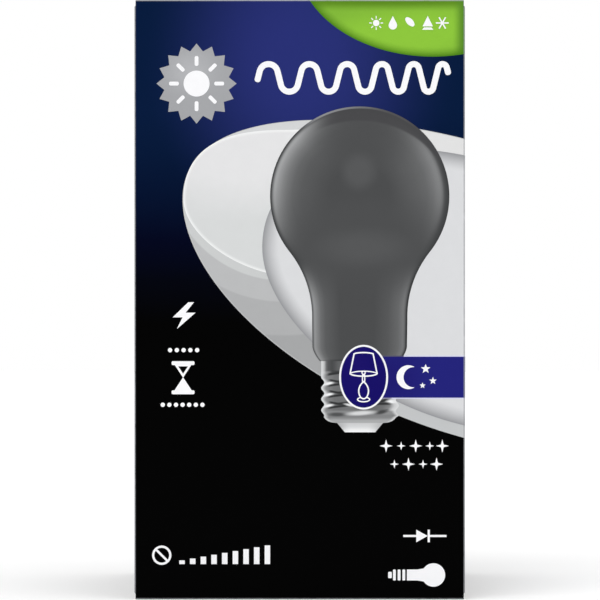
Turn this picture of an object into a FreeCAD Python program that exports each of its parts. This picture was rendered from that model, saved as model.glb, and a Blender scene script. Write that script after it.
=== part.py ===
import FreeCAD
import Part

import math
import os

# A sealed folding carton for one household light bulb, standing on its base.
# It is one creased sheet of coated board: four panels joined by a glued side seam, and at each
# end two dust flaps, an inner flap and an outer flap, folded over each other and glued down.
# Nothing can be seen inside, so it is one closed solid, and its layered ends and seam show
# outside. The front panel faces -Y, and the origin is the middle of the base.

# Driving dimensions, in millimetres
PANEL_WIDTH = 63.5
PANEL_DEPTH = 63.5
CARTON_HEIGHT = 115.2
BOARD = 0.5

# Folds, measured on the outside of the board
PANEL_FOLD_RADIUS = 0.5
DUST_FOLD_RADIUS = 0.45

# End flaps: the outer ones hinge on the front panel and the inner ones on the back panel
OUTER_FLAP_SIDE_GAP = 0.2
INNER_FLAP_SIDE_GAP = 0.9
OUTER_FLAP_END_GAP = 0.8
OUTER_FLAP_CORNER_RADIUS = 3.0

# Glued seam at the back left edge: the back panel's raw edge lies over the left panel's fold
SEAM_SETBACK = 0.15
SEAM_FOLD_DEGREES = 55.0

# Places worked out from the dimensions above
LEFT = -PANEL_WIDTH / 2
RIGHT = PANEL_WIDTH / 2
FRONT = -PANEL_DEPTH / 2
BACK = PANEL_DEPTH / 2
OUTER_FLAP_END = BACK - OUTER_FLAP_END_GAP
INNER_FLAP_BASE = BOARD
INNER_FLAP_TOP = CARTON_HEIGHT - BOARD
DUST_FLAP_BASE = 2 * BOARD
DUST_FLAP_TOP = CARTON_HEIGHT - 2 * BOARD


def plan_point(x, y):
    """A point of an outline seen from above."""
    return FreeCAD.Vector(x, y, 0)


def side_point(y, z):
    """A point of an outline seen from the side."""
    return FreeCAD.Vector(0, y, z)


def front_point(x, z):
    """A point of an outline seen from the front."""
    return FreeCAD.Vector(x, 0, z)


def fold(point, middle, radius, first, last):
    """Start, crown and end of a fold's arc, in degrees from the outline's first axis."""
    angles = [math.radians(a) for a in (first, (first + last) / 2, last)]
    return [
        point(middle[0] + radius * math.cos(a), middle[1] + radius * math.sin(a)) for a in angles
    ]


def closed_face(stops):
    """A face whose edge runs through arcs and single points in turn, joined by straight lines."""
    edges = []
    for i, stop in enumerate(stops):
        following = stops[(i + 1) % len(stops)]
        if len(stop) == 3:
            edges.append(Part.Arc(*stop).toShape())
        edges.append(Part.LineSegment(stop[-1], following[0]).toShape())
    return Part.Face(Part.Wire(edges))


def rounded_rectangle(point, low, high, radii):
    """A face between two corners; the radii go round from the low corner, and 0 is sharp."""
    corners = [(low[0], low[1]), (high[0], low[1]), (high[0], high[1]), (low[0], high[1])]
    inward = [(1, 1), (-1, 1), (-1, -1), (1, -1)]
    stops = []
    for i, ((u, v), (way_u, way_v), radius) in enumerate(zip(corners, inward, radii)):
        middle = (u + way_u * radius, v + way_v * radius)
        first = 180 + 90 * i
        round_corner = fold(point, middle, radius, first, first + 90)
        stops.append(round_corner if radius > 0 else [point(u, v)])
    return closed_face(stops)


def across_width(side_view, half_width):
    """A side view made solid between two planes, each half_width from the middle."""
    side_view.translate(FreeCAD.Vector(-half_width, 0, 0))
    return side_view.extrude(FreeCAD.Vector(2 * half_width, 0, 0))


def panels_plan():
    """The four panels' outline from above, with three folds and the glued seam."""
    radius = PANEL_FOLD_RADIUS
    under = BACK - BOARD
    seam_fold = fold(
        plan_point, (LEFT + radius, under - radius), radius, 180 - SEAM_FOLD_DEGREES, 180
    )
    return closed_face(
        [
            fold(plan_point, (LEFT + radius, FRONT + radius), radius, 180, 270),
            fold(plan_point, (RIGHT - radius, FRONT + radius), radius, 270, 360),
            fold(plan_point, (RIGHT - radius, BACK - radius), radius, 0, 90),
            [plan_point(LEFT + SEAM_SETBACK, BACK)],
            [plan_point(LEFT + SEAM_SETBACK, under)],
            [plan_point(seam_fold[0].x, under)],
            seam_fold,
        ]
    )


def front_side_view():
    """Side view of the front panel and its outer flaps, filled in between them."""
    radius = PANEL_FOLD_RADIUS
    return rounded_rectangle(
        side_point, (FRONT, 0), (OUTER_FLAP_END, CARTON_HEIGHT), (radius, 0, 0, radius)
    )


def back_side_view(front_limit):
    """Side view of the back panel and its inner flaps, filled in from front_limit."""
    radius = PANEL_FOLD_RADIUS
    return rounded_rectangle(
        side_point, (front_limit, INNER_FLAP_BASE), (BACK, INNER_FLAP_TOP), (0, radius, radius, 0)
    )


def tube():
    """The four panels with the dust flaps, closed at both ends."""
    panels = panels_plan()
    panels.translate(FreeCAD.Vector(0, 0, DUST_FLAP_BASE))
    panels = panels.extrude(FreeCAD.Vector(0, 0, DUST_FLAP_TOP - DUST_FLAP_BASE))
    dust_flaps = rounded_rectangle(
        front_point,
        (LEFT, DUST_FLAP_BASE),
        (RIGHT, DUST_FLAP_TOP),
        [DUST_FOLD_RADIUS] * 4,
    )
    dust_flaps.translate(FreeCAD.Vector(0, FRONT, 0))
    dust_flaps = dust_flaps.extrude(FreeCAD.Vector(0, PANEL_DEPTH, 0))
    back_folds = across_width(back_side_view(FRONT), PANEL_WIDTH / 2)
    return panels.common(dust_flaps).common(back_folds)


def outer_flaps():
    """The front panel's strip with its two outer flaps, one over each end."""
    half_width = PANEL_WIDTH / 2 - OUTER_FLAP_SIDE_GAP
    strip = across_width(front_side_view(), half_width)
    space_between = Part.makeBox(
        PANEL_WIDTH,
        PANEL_DEPTH,
        INNER_FLAP_TOP - INNER_FLAP_BASE,
        FreeCAD.Vector(LEFT, FRONT + BOARD, INNER_FLAP_BASE),
    )
    corner = OUTER_FLAP_CORNER_RADIUS
    flap_plan = rounded_rectangle(
        plan_point, (-half_width, FRONT), (half_width, OUTER_FLAP_END), (0, 0, corner, corner)
    )
    whole_height = FreeCAD.Vector(0, 0, CARTON_HEIGHT)
    flaps = strip.cut(space_between).common(flap_plan.extrude(whole_height))
    return flaps.common(panels_plan().extrude(whole_height))


def inner_flaps():
    """The back panel's strip with its two inner flaps, each one under an outer flap."""
    strip = across_width(
        back_side_view(FRONT + BOARD), PANEL_WIDTH / 2 - INNER_FLAP_SIDE_GAP
    )
    space_between = Part.makeBox(
        PANEL_WIDTH,
        PANEL_DEPTH - BOARD,
        DUST_FLAP_TOP - DUST_FLAP_BASE,
        FreeCAD.Vector(LEFT, FRONT, DUST_FLAP_BASE),
    )
    return strip.cut(space_between)


def carton():
    """The closed carton as one solid."""
    return tube().fuse([inner_flaps(), outer_flaps()]).removeSplitter()


def main():
    """Write the carton's file and say what it measures."""
    os.makedirs("parts", exist_ok=True)
    solid = carton().Solids[0]
    solid.exportStep("parts/carton.step")
    box = solid.BoundBox
    print("carton", "valid" if solid.isValid() else "not valid", len(solid.Faces), "faces")
    print("size", round(box.XLength, 3), round(box.YLength, 3), round(box.ZLength, 3))
    print("volume", round(solid.Volume, 1))


main()
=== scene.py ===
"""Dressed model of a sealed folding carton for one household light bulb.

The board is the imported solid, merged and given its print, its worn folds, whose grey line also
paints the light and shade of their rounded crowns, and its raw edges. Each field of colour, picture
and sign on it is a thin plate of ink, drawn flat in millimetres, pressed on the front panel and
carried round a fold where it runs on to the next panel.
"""

from __future__ import annotations

import logging
import math
from abc import ABC, abstractmethod
from collections.abc import Callable, Iterator, Sequence
from contextlib import contextmanager
from dataclasses import dataclass, replace
from enum import Enum

import bmesh
import bpy
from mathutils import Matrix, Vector


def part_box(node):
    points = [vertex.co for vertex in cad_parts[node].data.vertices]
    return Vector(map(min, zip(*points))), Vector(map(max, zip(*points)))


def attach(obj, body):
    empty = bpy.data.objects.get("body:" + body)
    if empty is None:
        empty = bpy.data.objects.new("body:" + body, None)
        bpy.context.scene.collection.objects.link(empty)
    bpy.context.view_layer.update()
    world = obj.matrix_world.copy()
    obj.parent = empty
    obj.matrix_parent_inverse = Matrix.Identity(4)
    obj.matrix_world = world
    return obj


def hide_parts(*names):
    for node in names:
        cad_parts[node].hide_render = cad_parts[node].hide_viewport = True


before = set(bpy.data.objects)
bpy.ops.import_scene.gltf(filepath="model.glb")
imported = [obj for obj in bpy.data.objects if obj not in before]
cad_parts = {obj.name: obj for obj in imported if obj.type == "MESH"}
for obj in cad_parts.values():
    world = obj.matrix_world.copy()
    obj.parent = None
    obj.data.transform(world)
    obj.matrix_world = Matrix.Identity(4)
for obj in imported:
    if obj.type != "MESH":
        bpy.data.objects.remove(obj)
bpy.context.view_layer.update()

LOG = logging.getLogger("carton")
MM = 0.001
TINY = 1e-7
QUARTER = math.pi / 2

Colour = tuple[int, int, int]
Place = tuple[float, float]
Row = tuple[float, float, float]
Bend = tuple[Place, Place, Place]
Levels = tuple[tuple[float, int], ...]
Socket = bpy.types.NodeSocket
Feed = object
Feeds = dict[str | int, Feed]
Piece = bpy.types.Object


class Slot(Enum):
    """Material slots of the record."""

    BOARD = "printed_board"
    WHITE = "white_ink"
    PALE = "pale_ink"
    GREY = "grey_ink"
    GREEN = "green_ink"
    BLUE = "blue_ink"


class Layer(Enum):
    """How far each layer of ink stands proud of the board, in millimetres."""

    FIELD = 0.020
    SHELL = 0.032
    INNER = 0.044
    METAL = 0.050
    PICTURE = 0.056
    BAND_EDGE = 0.064
    BAND = 0.072
    BADGE_EDGE = 0.080
    BADGE = 0.088
    SIGN = 0.100


class Fold(Enum):
    """The folds that a field of colour may run round."""

    RIGHT = "right"
    TOP = "top"


class Effect(Enum):
    """The node groups that several materials share."""

    SOFT_SPOT = "soft_spot"
    FOLD_LINE = "fold_line"
    FILM = "film"


def linear(colour: Colour) -> tuple[float, float, float, float]:
    """Turn a colour as written on screen into the one that a shader takes.

    Args:
        colour: Red, green and blue from 0 to 255.

    Returns:
        The same colour in linear light, with full alpha.
    """
    red, green, blue = (
        part / 12.92 if part <= 0.04045 else ((part + 0.055) / 1.055) ** 2.4
        for part in (level / 255 for level in colour)
    )
    return red, green, blue, 1.0


def grey(level: int) -> Colour:
    """Return a slightly cool grey of one level from 0 to 255."""
    return level - 1, level, min(level + 1, 255)


def arc(middle: Place, radii: Place, first: float, last: float, count: int) -> list[Place]:
    """List points on an ellipse's arc.

    Args:
        middle: Middle of the ellipse.
        radii: Its half sizes across and up.
        first: Angle of the first point, in degrees from the right, turning to the left.
        last: Angle of the last point.
        count: How many points the arc has.

    Returns:
        The points in order.
    """
    turns = [math.radians(first + (last - first) * i / (count - 1)) for i in range(count)]
    return [
        (middle[0] + radii[0] * math.cos(turn), middle[1] + radii[1] * math.sin(turn))
        for turn in turns
    ]


def curve(first: Place, bends: Sequence[Bend], count: int) -> list[Place]:
    """List points along smooth stretches that follow on from each other.

    Args:
        first: Where the first stretch starts.
        bends: For each stretch, the two places that bend it and the place where it ends.
        count: How many points each stretch has.

    Returns:
        The points in order, without the last stretch's end.
    """
    points = []
    start = Vector(first)
    for near, far, end in bends:
        for step in range(count):
            share = step / count
            rest = 1 - share
            spot = start * rest**3 + Vector(near) * 3 * rest**2 * share
            spot += Vector(far) * 3 * rest * share**2 + Vector(end) * share**3
            points.append((spot.x, spot.y))
        start = Vector(end)
    return points


def only(piece: Piece) -> None:
    """Select one object alone and make it the active one.

    Args:
        piece: The object to work on.
    """
    bpy.ops.object.select_all(action="DESELECT")
    piece.select_set(True)
    bpy.context.view_layer.objects.active = piece


@contextmanager
def editing(piece: Piece) -> Iterator[None]:
    """Open one object in edit mode with all of it selected, and close it again.

    Args:
        piece: The object to edit.
    """
    only(piece)
    bpy.ops.object.mode_set(mode="EDIT")
    bpy.ops.mesh.select_all(action="SELECT")
    yield
    bpy.ops.object.mode_set(mode="OBJECT")


def pick(piece: Piece, wanted: Callable[[bmesh.types.BMVert], bool]) -> None:
    """Select, in edit mode, the vertices that pass a test and all that lies between them.

    Args:
        piece: The object in edit mode.
        wanted: The test on a vertex.
    """
    bpy.ops.mesh.select_all(action="DESELECT")
    mesh = bmesh.from_edit_mesh(piece.data)
    mesh.verts.index_update()
    for vertex in mesh.verts:
        if wanted(vertex):
            vertex.select_set(True)
    mesh.select_flush(True)
    bmesh.update_edit_mesh(piece.data)


def bisect(spot: Vector, way: Vector) -> None:
    """Cut the object in edit mode right across at a point, square to a direction."""
    bpy.ops.mesh.select_all(action="SELECT")
    bpy.ops.mesh.bisect(plane_co=spot, plane_no=way, threshold=TINY)


@dataclass(frozen=True)
class Sheet:
    """The folded board's outside, in metres, between its lowest and its highest corner."""

    low: Vector
    high: Vector
    fold: float = 0.5 * MM
    thickness: float = 0.5 * MM

    @property
    def middle(self) -> Vector:
        """The middle of the carton."""
        return (self.low + self.high) / 2

    @property
    def half_sizes(self) -> Vector:
        """Half of the carton's width, depth and height."""
        return (self.high - self.low) / 2

    @property
    def fold_arc(self) -> float:
        """Length of board that a fold takes up on its outside."""
        return self.fold * QUARTER

    def round_fold(self, along: float, reach: float, lift: float) -> tuple[float, float]:
        """Carry one coordinate of the unfolded sheet round the fold at the end of a panel.

        Args:
            along: The coordinate on the unfolded sheet.
            reach: Where the panel's outside ends, past its fold.
            lift: Height above the board.

        Returns:
            The coordinate on the carton, and the depth behind the front face.
        """
        start = reach - self.fold
        past = along - start
        if past <= 0:
            return along, -lift
        if past >= self.fold_arc:
            return reach + lift, self.fold + past - self.fold_arc
        turn = past / self.fold
        radius = self.fold + lift
        return start + radius * math.sin(turn), self.fold - radius * math.cos(turn)

    def carried(self, place: Vector) -> Vector:
        """Find where a point of the unfolded sheet lies on the carton.

        Args:
            place: Across, minus the height above the board, and up.

        Returns:
            The point on the carton.
        """
        across, across_depth = self.round_fold(place.x, self.high.x, -place.y)
        up, up_depth = self.round_fold(place.z, self.high.z, -place.y)
        return Vector((across, self.low.y + max(across_depth, up_depth), up))


class Drawing:
    """Flat outlines on the front panel's plane, in millimetres, that become one plate of ink.

    Each outline stands one pile step prouder than the one before it. A rounded corner has
    corner_steps faces. A stroke bends by turn_step degrees at most in one face. Its first face is
    end_length of its width long, and its ends are rounded by end_rounding of its width.
    """

    pile_step = 0.002
    corner_steps = 4
    turn_step = 12
    end_length = 0.6
    end_rounding = 0.42

    def __init__(self, name: str, origin: Place = (0.0, 0.0)) -> None:
        """Start an empty drawing.

        Args:
            name: Name of the piece that it becomes.
            origin: Where the places in it are measured from.
        """
        self.name = name
        self.origin = origin
        self.outlines: list[Piece] = []

    @property
    def newest(self) -> Piece:
        """The outline that was added last."""
        return self.outlines[-1]

    def spot(self, place: Place) -> Vector:
        """Return the point of the flat sheet at a place of the drawing, in metres."""
        return Vector((self.origin[0] + place[0], 0.0, self.origin[1] + place[1])) * MM

    def _keep(self, stretch: Place = (1.0, 1.0)) -> Drawing:
        """Keep the newest primitive, stretched across and up, with its place in its mesh.

        Args:
            stretch: Scale in the primitive's own directions.

        Returns:
            The drawing.
        """
        outline = bpy.context.object
        outline.scale = (*stretch, 1.0)
        bpy.ops.object.transform_apply(location=True, rotation=True, scale=True)
        self.outlines.append(outline)
        return self

    def _round(self, radius: float) -> None:
        """Round the selected corners of the outline in edit mode."""
        bpy.ops.mesh.bevel(offset=radius * MM, segments=self.corner_steps, affect="VERTICES")

    def disc(self, middle: Place, radii: Place, corners: int = 48) -> Drawing:
        """Add an ellipse.

        Args:
            middle: Its middle.
            radii: Its half sizes.
            corners: How many corners its edge has.

        Returns:
            The drawing.
        """
        bpy.ops.mesh.primitive_circle_add(
            vertices=corners,
            radius=MM,
            fill_type="NGON",
            location=self.spot(middle),
            rotation=(QUARTER, 0, 0),
        )
        return self._keep(radii)

    def bar(self, middle: Place, sizes: Place, turn: float = 0.0, rounding: float = 0.0) -> Drawing:
        """Add a bar.

        Args:
            middle: Its middle.
            sizes: Its width and height.
            turn: Degrees that its right end is turned down.
            rounding: Radius of its corners.

        Returns:
            The drawing.
        """
        bpy.ops.mesh.primitive_plane_add(
            size=MM, location=self.spot(middle), rotation=(QUARTER, math.radians(turn), 0)
        )
        self._keep(sizes)
        if rounding:
            with editing(self.newest):
                self._round(rounding)
        return self

    def polygon(self, points: Sequence[Place]) -> Drawing:
        """Add an outline through points.

        Args:
            points: Its corners in order.

        Returns:
            The drawing.
        """
        self.disc((0.0, 0.0), (1.0, 1.0), corners=len(points))
        for vertex, point in zip(self.newest.data.vertices, points):
            vertex.co = self.spot(point)
        return self

    def star(self, middle: Place, tips: int, outer: float, inner: float) -> Drawing:
        """Add a star with one tip straight up.

        Args:
            middle: Its middle.
            tips: How many tips it has.
            outer: Radius of its tips.
            inner: Radius of the corners between them.

        Returns:
            The drawing.
        """
        self.disc(middle, (outer, outer), corners=2 * tips)
        share = inner / outer
        with editing(self.newest):
            pick(self.newest, lambda vertex: vertex.index % 2 == 1)
            bpy.ops.transform.resize(value=(share,) * 3, center_override=self.spot(middle))
        return self

    def hollow(self, wall: float) -> Drawing:
        """Leave only a rim of the newest outline.

        Args:
            wall: Width of the rim.

        Returns:
            The drawing.
        """
        with editing(self.newest):
            bpy.ops.mesh.inset(thickness=wall * MM, use_even_offset=True)
            bpy.ops.mesh.delete(type="FACE")
        return self

    def rimmed(self, width: float) -> Drawing:
        """Mark the newest outline's border, for an ink that changes towards its edge.

        Args:
            width: Width of the border. Its attribute, inward, runs from 0 at the edge to 1.

        Returns:
            The drawing.
        """
        with editing(self.newest):
            bpy.ops.mesh.inset(thickness=width * MM, use_even_offset=True)
        mesh = self.newest.data
        inward = mesh.attributes.new("inward", "FLOAT", "POINT")
        for vertex, value in zip(mesh.vertices, inward.data):
            value.value = float(vertex.select)
        return self

    def stroke(
        self, heading: float, runs: Sequence[tuple[float, float]], width: float
    ) -> Drawing:
        """Add a line of even width with rounded ends, extruded from run to run.

        Args:
            heading: Its direction at the origin, in degrees from the right, turning to the left.
            runs: Length of each run, and the degrees that it turns to the left.
            width: Width of the line.

        Returns:
            The drawing.
        """
        first_length = self.end_length * width
        slant = math.radians(heading)
        way = Vector((math.cos(slant), 0.0, math.sin(slant)))
        middle = self.spot((0.0, 0.0)) + way * first_length / 2 * MM
        end = self.spot((0.0, 0.0)) + way * first_length * MM
        bpy.ops.mesh.primitive_plane_add(size=MM, location=middle, rotation=(QUARTER, -slant, 0))
        self._keep((first_length, width))
        with editing(self.newest):
            pick(self.newest, lambda vertex: (vertex.co - middle).dot(way) > 0)
            for length, turn in runs:
                steps = max(1, math.ceil(abs(turn) / self.turn_step))
                for _ in range(steps):
                    slant = math.radians(heading + turn / steps / 2)
                    heading += turn / steps
                    move = Vector((math.cos(slant), 0, math.sin(slant))) * length / steps * MM
                    end += move
                    bpy.ops.mesh.extrude_region_move(TRANSFORM_OT_translate={"value": move})
                    if turn:
                        bpy.ops.transform.rotate(
                            value=math.radians(turn / steps), orient_axis="Y", center_override=end
                        )
            pick(self.newest, lambda vertex: len(vertex.link_edges) == 2)
            self._round(self.end_rounding * width)
        return self

    def rows(self, outline: Sequence[Row], columns: int) -> Drawing:
        """Add a grid whose rows follow an outline.

        Args:
            outline: Left end, right end and height of each row, from the lowest up.
            columns: How many faces each row has.

        Returns:
            The drawing.
        """
        bpy.ops.mesh.primitive_grid_add(
            x_subdivisions=columns,
            y_subdivisions=len(outline) - 1,
            size=MM,
            rotation=(QUARTER, 0, 0),
        )
        self._keep()
        grid = self.newest
        spacing = MM / (len(outline) - 1)
        with editing(grid):
            for row, (left, right, height) in enumerate(outline):
                level = row * spacing - MM / 2
                pick(grid, lambda vertex, row=row: vertex.index // (columns + 1) == row)
                bpy.ops.transform.resize(value=(right - left, 1, 1), center_override=(0, 0, level))
                move = ((left + right) / 2 * MM, 0, height * MM - level)
                bpy.ops.transform.translate(value=move)
            bpy.ops.mesh.select_all(action="SELECT")
            bpy.ops.mesh.remove_doubles(threshold=TINY)
        return self

    def notch(self, corner: Place) -> Drawing:
        """Cut out of the newest outline all that lies both right of a corner and above it.

        Args:
            corner: The corner that stays.

        Returns:
            The drawing.
        """
        limit = self.spot(corner)
        with editing(self.newest):
            bisect(limit, Vector((1, 0, 0)))
            bisect(limit, Vector((0, 0, 1)))
            pick(
                self.newest,
                lambda vertex: vertex.co.x > limit.x - TINY and vertex.co.z > limit.z - TINY,
            )
            bpy.ops.mesh.delete(type="FACE")
        return self

    def joined(self) -> Piece:
        """Join all outlines to one object, each a little prouder than the one before it.

        Returns:
            The object, named after the drawing.
        """
        for step, outline in enumerate(self.outlines):
            for vertex in outline.data.vertices:
                vertex.co.y -= self.pile_step * step * MM
        only(self.outlines[0])
        for outline in self.outlines[1:]:
            outline.select_set(True)
        if len(self.outlines) > 1:
            bpy.ops.object.join()
        piece = bpy.context.object
        piece.name = self.name
        piece.data.name = self.name
        return piece


class Graph:
    """A node tree that is filled node by node. A feed is a value, or the output that gives it."""

    def __init__(self, tree: bpy.types.NodeTree) -> None:
        """Take over and empty the tree of a material, a world or a group."""
        tree.nodes.clear()
        self.tree = tree

    def node(self, kind: str, sockets: Feeds | None = None, **settings: object) -> bpy.types.Node:
        """Add a node.

        Args:
            kind: The node's type.
            sockets: The feed of each input that is named or numbered here.
            **settings: Other settings of the node.

        Returns:
            The node.
        """
        made = self.tree.nodes.new(kind)
        for name, value in settings.items():
            setattr(made, name, value)
        for name, value in (sockets or {}).items():
            if isinstance(value, Socket):
                self.tree.links.new(value, made.inputs[name])
            else:
                made.inputs[name].default_value = value
        return made

    def effect(self, effect: Effect, sockets: Feeds) -> bpy.types.bpy_prop_collection:
        """Place a shared node group, and return its outputs."""
        tree = bpy.data.node_groups[effect.value]
        return self.node("ShaderNodeGroup", sockets, node_tree=tree).outputs

    def math(self, operation: str, *values: Feed, clamp: bool = False) -> Socket:
        """Work out numbers with a Math node, and keep the result from 0 to 1 if clamp is set."""
        sockets = dict(enumerate(values))
        return self.node("ShaderNodeMath", sockets, operation=operation, use_clamp=clamp).outputs[0]

    def product(self, first: Feed, *others: Feed) -> Feed:
        """Multiply numbers.

        Args:
            first: The first number.
            *others: The numbers that it is multiplied by.

        Returns:
            The product.
        """
        for other in others:
            first = self.math("MULTIPLY", first, other)
        return first

    def vector(self, operation: str, sockets: Feeds) -> Socket:
        """Work out a vector with a Vector Math node."""
        return self.node("ShaderNodeVectorMath", sockets, operation=operation).outputs[0]

    def parts(self, vector: Feed) -> bpy.types.bpy_prop_collection:
        """Split a vector into its X, Y and Z."""
        return self.node("ShaderNodeSeparateXYZ", {0: vector}).outputs

    def noise(self, place: Socket, scale: float, detail: float, roughness: float = 0.5) -> Socket:
        """Give a number from 0 to 1 that wanders from place to place."""
        sockets = {"Vector": place, "Scale": scale, "Detail": detail, "Roughness": roughness}
        return self.node("ShaderNodeTexNoise", sockets).outputs[0]

    def between(self, value: Socket, low: Feed, high: Feed, first: float, last: float) -> Socket:
        """Pass smoothly from one number to another while a value runs from low to high.

        Args:
            value: The value that is read.
            low: Where the passage starts.
            high: Where it ends.
            first: The number at its start.
            last: The number at its end.

        Returns:
            The number in between.
        """
        sockets = {"Value": value, "From Min": low, "From Max": high, "To Min": first, "To Max": last}
        kind = "SMOOTHSTEP"
        return self.node("ShaderNodeMapRange", sockets, interpolation_type=kind).outputs[0]

    def blend(self, share: Feed, first: Feed, second: Feed) -> Socket:
        """Give the number that lies a share of the way from one to another."""
        sockets = {0: share, 2: first, 3: second}
        return self.node("ShaderNodeMix", sockets, data_type="FLOAT").outputs[0]

    def mix(self, share: Feed, base: Feed, other: Feed, blend: str = "MIX") -> Socket:
        """Lay a share of another colour over a base colour."""
        sockets = {0: share, 6: base, 7: other}
        return self.node("ShaderNodeMix", sockets, data_type="RGBA", blend_type=blend).outputs[2]

    def ramp(self, value: Socket, stops: Sequence[tuple[float, Colour]]) -> Socket:
        """Add a colour ramp over the values that its stops span.

        Args:
            value: The value that is read.
            stops: A value and a colour for each stop, from the lowest up.

        Returns:
            The ramp's colour.
        """
        low = stops[0][0]
        span = stops[-1][0] - low
        share = self.math("DIVIDE", self.math("SUBTRACT", value, low), span, clamp=True)
        made = self.node("ShaderNodeValToRGB", {"Fac": share})
        elements = made.color_ramp.elements
        while len(elements) < len(stops):
            elements.new(1.0)
        for element, (where, colour) in zip(elements, stops):
            element.position = (where - low) / span
            element.color = linear(colour)
        return made.outputs["Color"]

    def levels(self, value: Socket, stops: Levels) -> Socket:
        """Add a ramp of greys, each from 0 to 255."""
        return self.ramp(value, [(where, grey(level)) for where, level in stops])


class Surface(Graph):
    """A new material's graph, which knows where each point lies, in millimetres."""

    def __init__(self, name: str) -> None:
        """Start the material.

        Args:
            name: Its name.
        """
        self.made = bpy.data.materials.new(name)
        self.made.use_nodes = True
        super().__init__(self.made.node_tree)
        here = self.node("ShaderNodeTexCoord").outputs["Object"]
        self.solid = self.vector("SCALE", {0: here, "Scale": 1 / MM})
        self.place = self.solid

    def unfold(self) -> None:
        """Read places on the unfolded sheet, which the plates of ink remember."""
        self.place = self.node("ShaderNodeAttribute", attribute_name="flat").outputs["Vector"]

    def across(self) -> Socket:
        """Read how far across its row a point lies, from 0 to 1."""
        return self.parts(self.node("ShaderNodeUVMap", uv_map="UVMap").outputs[0])["X"]

    def relief(self, height: Socket, strength: float, distance: float) -> Socket:
        """Give the normal of a slight relief."""
        sockets = {"Height": height, "Strength": strength, "Distance": distance}
        return self.node("ShaderNodeBump", sockets).outputs[0]

    def finished(self, sockets: Feeds) -> bpy.types.Material:
        """Add the shader and the output.

        Args:
            sockets: The feed of each input of the shader.

        Returns:
            The material.
        """
        shader = self.node("ShaderNodeBsdfPrincipled", sockets)
        self.node("ShaderNodeOutputMaterial", {"Surface": shader.outputs[0]})
        return self.made


class Group(Graph):
    """A new shader node group with named inputs and outputs."""

    def __init__(
        self, effect: Effect, vectors: Sequence[str], numbers: Sequence[str], outputs: Sequence[str]
    ) -> None:
        """Make the group and its sockets.

        Args:
            effect: What it is for.
            vectors: Names of its inputs that take a vector.
            numbers: Names of its inputs that take a number.
            outputs: Names of its outputs, which all give a number.
        """
        super().__init__(bpy.data.node_groups.new(effect.value, "ShaderNodeTree"))
        for names, way, kind in (
            (vectors, "INPUT", "NodeSocketVector"),
            (numbers, "INPUT", "NodeSocketFloat"),
            (outputs, "OUTPUT", "NodeSocketFloat"),
        ):
            for name in names:
                self.tree.interface.new_socket(name, in_out=way, socket_type=kind)
        self.given = self.node("NodeGroupInput").outputs


def make_soft_spot() -> None:
    """Build a mask that is 1 within an ellipse's core and falls to 0 at its edge."""
    vectors = ("Place", "Middle", "Reach", "Turn")
    group = Group(Effect.SOFT_SPOT, vectors, ("Core",), ("Mask",))
    place, middle, reach, turn, core = group.given[:5]
    sockets = {"Vector": place, "Location": middle, "Rotation": turn, "Scale": reach}
    local = group.node("ShaderNodeMapping", sockets, vector_type="TEXTURE").outputs[0]
    length = group.node("ShaderNodeVectorMath", {0: local}, operation="LENGTH").outputs["Value"]
    group.node("NodeGroupOutput", {"Mask": group.between(length, core, 1.0, 1.0, 0.0)})


def make_fold_line() -> None:
    """Build a mask of the crowns of the carton's folds, where the ink is worn and cracked, and where
    a grey line paints the light and shade of the rounded crease.
    """
    vectors = ("Place", "Middle", "Half Sizes")
    group = Group(Effect.FOLD_LINE, vectors, ("Width",), ("Mask",))
    place, middle, half_sizes, width = group.given[:4]
    offset = group.vector("SUBTRACT", {0: place, 1: middle})
    away = group.vector("ABSOLUTE", {0: offset})
    x, y, z = group.parts(group.vector("SUBTRACT", {0: half_sizes, 1: away}))
    nearer = group.math("MINIMUM", x, y)
    further = group.math("MAXIMUM", x, y)
    second = group.math("MAXIMUM", nearer, group.math("MINIMUM", further, z))
    line = group.between(second, group.product(width, 0.7), width, 1.0, 0.0)
    wear = group.noise(place, scale=0.9, detail=4.0)
    broken = group.between(wear, 0.25, 0.55, 0.62, 1.0)
    group.node("NodeGroupOutput", {"Mask": group.product(line, broken)})


def make_film() -> None:
    """Build the relief, the gloss and the slight mottle of coated and printed board."""
    outputs = ("Height", "Roughness", "Mottle")
    group = Group(Effect.FILM, ("Place",), ("Gloss Spread", "Roughness"), outputs)
    place, gloss_spread, roughness = group.given[:3]
    bow = group.noise(place, scale=0.045, detail=1.5)
    grain = group.noise(place, scale=1.7, detail=3.0)
    cloud = group.noise(place, scale=0.35, detail=5.0, roughness=0.7)
    spread = group.product(group.math("SUBTRACT", cloud, 0.5), gloss_spread)
    results = {
        "Height": group.math("ADD", bow, group.product(grain, 0.05)),
        "Roughness": group.math("ADD", roughness, spread),
        "Mottle": group.between(cloud, 0.3, 0.7, 0.982, 1.0),
    }
    group.node("NodeGroupOutput", results)


@dataclass(frozen=True)
class Tint:
    """A soft-edged ellipse of another colour, or all that lies outside it, in millimetres."""

    colour: Colour
    middle: Place
    reach: Place
    turn: float = 0.0
    core: float = 0.0
    strength: float = 1.0
    outside: bool = False
    deep_middle: float = 0.0
    deep_reach: float = 1.0

    def mask(self, surface: Surface) -> Socket:
        """Work out how strong the tint is at each point.

        Args:
            surface: The surface that is painted.

        Returns:
            Its share, from 0 to its full strength.
        """
        sockets = {
            "Place": surface.place,
            "Middle": (self.middle[0], self.deep_middle, self.middle[1]),
            "Reach": (self.reach[0], self.deep_reach, self.reach[1]),
            "Turn": (0.0, math.radians(self.turn), 0.0),
            "Core": self.core,
        }
        share = surface.effect(Effect.SOFT_SPOT, sockets)["Mask"]
        if self.outside:
            share = surface.math("SUBTRACT", 1.0, share)
        return surface.product(share, self.strength)


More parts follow.
